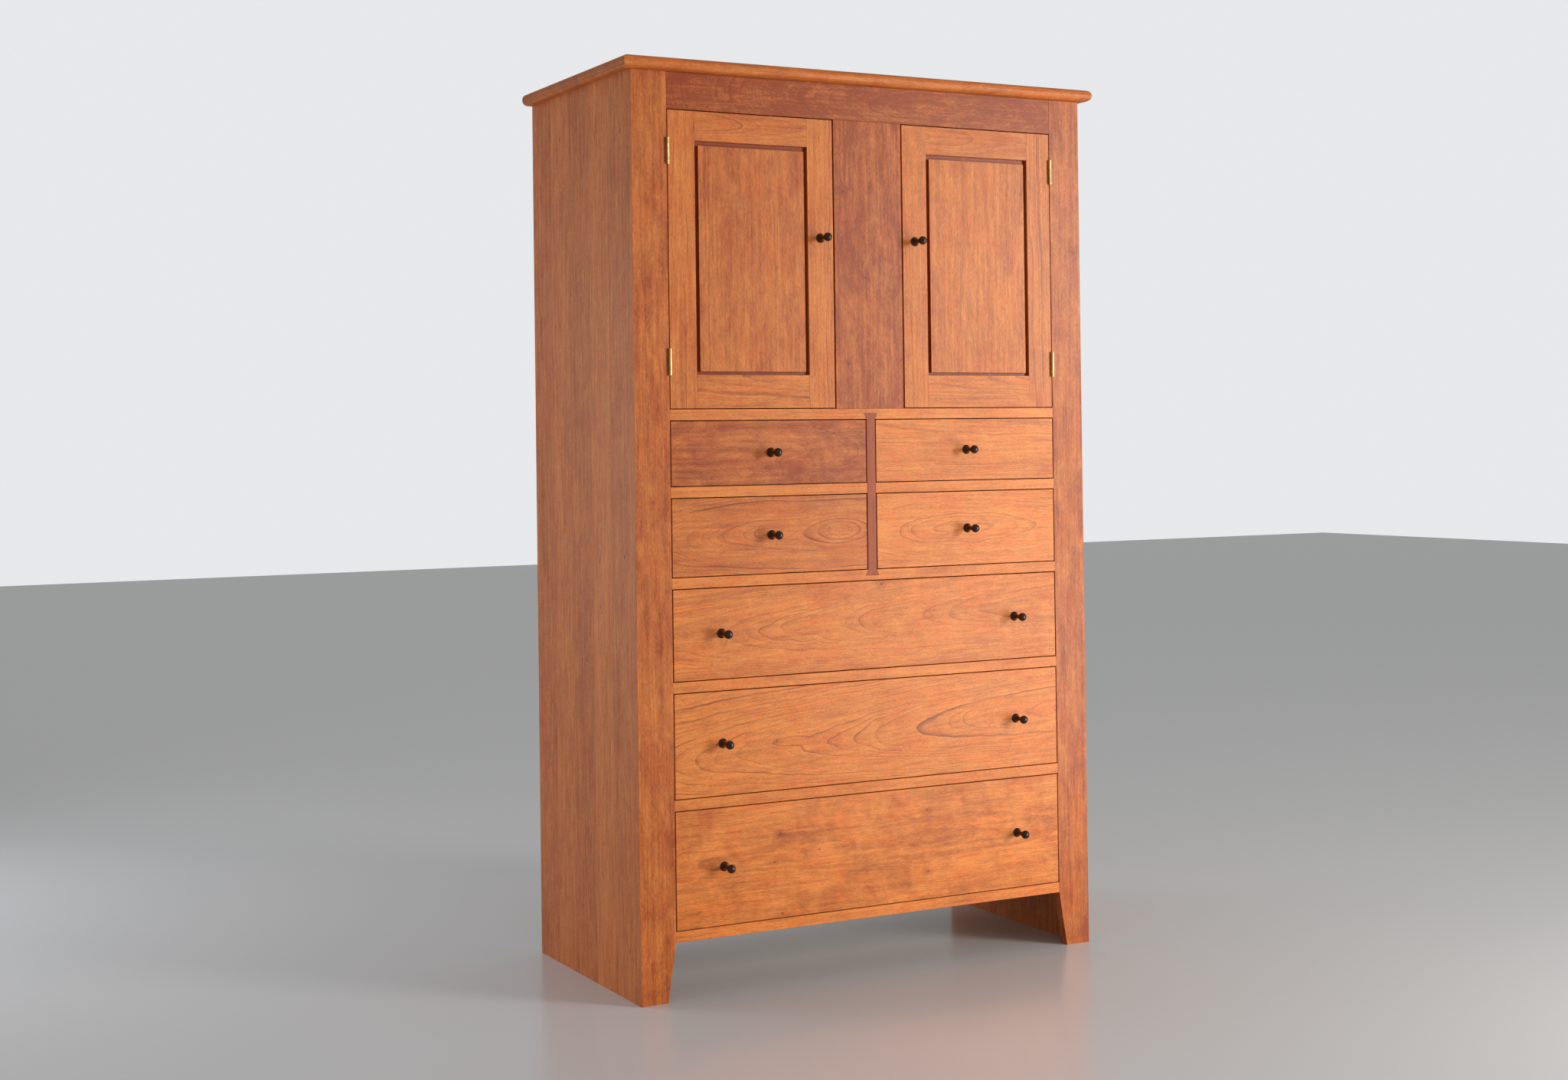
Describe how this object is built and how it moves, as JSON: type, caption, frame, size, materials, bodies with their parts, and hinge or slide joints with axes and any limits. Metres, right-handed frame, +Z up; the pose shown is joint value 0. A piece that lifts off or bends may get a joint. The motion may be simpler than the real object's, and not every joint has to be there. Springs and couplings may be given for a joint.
{
  "type": "armoire",
  "caption": "Tall cherry armoire with inset panelled doors over paired small drawers and graduated full-width drawers, standing on tapered feet.",
  "frame": {"origin": "on the floor, at the middle of the overall width and of the overall depth, knobs included", "axes": "+Z up, -Y out of the front, +X to the right as seen from the front"},
  "size_m": [1.0864, 0.5504, 1.8115],
  "materials": {
    "cherry": "satin oiled cherry",
    "walnut": "satin oiled dark wood",
    "maple": "sealed pale secondary wood",
    "rosewood": "polished very dark turned wood",
    "brass": "satin brass"
  },
  "bodies": {
    "case": {"side_panel_left": "cherry", "side_panel_right": "cherry", "stile_left": "cherry", "stile_right": "cherry", "top_rail": "cherry", "door_mullion": "cherry", "door_rail": "cherry", "short_rails": "cherry", "drawer_rails": "cherry", "bottom_rail": "cherry", "drawer_divider": "walnut", "top_board": "cherry", "back_boards": "cherry", "cabinet_floor": "cherry", "cabinet_shelf": "cherry", "shelf_cleats": "maple", "drawer_runners": "maple", "drawer_guides": "maple", "top_cleats": "maple", "stop_blocks": "maple", "hinge_case_leaves": "brass", "hinge_pins": "brass"},
    "door_left": {"door_left_stiles": "cherry", "door_left_rails": "cherry", "door_left_panel": "cherry", "door_left_knob": "rosewood", "door_left_hinge_leaves": "brass"},
    "door_right": {"door_right_stiles": "cherry", "door_right_rails": "cherry", "door_right_panel": "cherry", "door_right_knob": "rosewood", "door_right_hinge_leaves": "brass"},
    "drawer_1_left": {"drawer_1_left_front": "cherry", "drawer_1_left_box": "maple", "drawer_1_left_bottom": "maple", "drawer_1_left_knobs": "rosewood"},
    "drawer_1_right": {"drawer_1_right_front": "cherry", "drawer_1_right_box": "maple", "drawer_1_right_bottom": "maple", "drawer_1_right_knobs": "rosewood"},
    "drawer_2_left": {"drawer_2_left_front": "cherry", "drawer_2_left_box": "maple", "drawer_2_left_bottom": "maple", "drawer_2_left_knobs": "rosewood"},
    "drawer_2_right": {"drawer_2_right_front": "cherry", "drawer_2_right_box": "maple", "drawer_2_right_bottom": "maple", "drawer_2_right_knobs": "rosewood"},
    "drawer_3": {"drawer_3_front": "cherry", "drawer_3_box": "maple", "drawer_3_bottom": "maple", "drawer_3_knobs": "rosewood"},
    "drawer_4": {"drawer_4_front": "cherry", "drawer_4_box": "maple", "drawer_4_bottom": "maple", "drawer_4_knobs": "rosewood"},
    "drawer_5": {"drawer_5_front": "cherry", "drawer_5_box": "maple", "drawer_5_bottom": "maple", "drawer_5_knobs": "rosewood"}
  },
  "joints": [
    {"name": "door_left_hinge", "type": "hinge", "parent": "case", "child": "door_left", "pos_m": [-0.4451, -0.23995, 1.42575], "axis": [0, 0, -1], "range_deg": [0, 170]},
    {"name": "door_right_hinge", "type": "hinge", "parent": "case", "child": "door_right", "pos_m": [0.4451, -0.23995, 1.42575], "axis": [0, 0, 1], "range_deg": [0, 170]},
    {"name": "drawer_1_left_slide", "type": "slide", "parent": "case", "child": "drawer_1_left", "axis": [0, -1, 0], "range_m": [0, 0.35]},
    {"name": "drawer_1_right_slide", "type": "slide", "parent": "case", "child": "drawer_1_right", "axis": [0, -1, 0], "range_m": [0, 0.35]},
    {"name": "drawer_2_left_slide", "type": "slide", "parent": "case", "child": "drawer_2_left", "axis": [0, -1, 0], "range_m": [0, 0.35]},
    {"name": "drawer_2_right_slide", "type": "slide", "parent": "case", "child": "drawer_2_right", "axis": [0, -1, 0], "range_m": [0, 0.35]},
    {"name": "drawer_3_slide", "type": "slide", "parent": "case", "child": "drawer_3", "axis": [0, -1, 0], "range_m": [0, 0.35]},
    {"name": "drawer_4_slide", "type": "slide", "parent": "case", "child": "drawer_4", "axis": [0, -1, 0], "range_m": [0, 0.35]},
    {"name": "drawer_5_slide", "type": "slide", "parent": "case", "child": "drawer_5", "axis": [0, -1, 0], "range_m": [0, 0.35]}
  ]
}
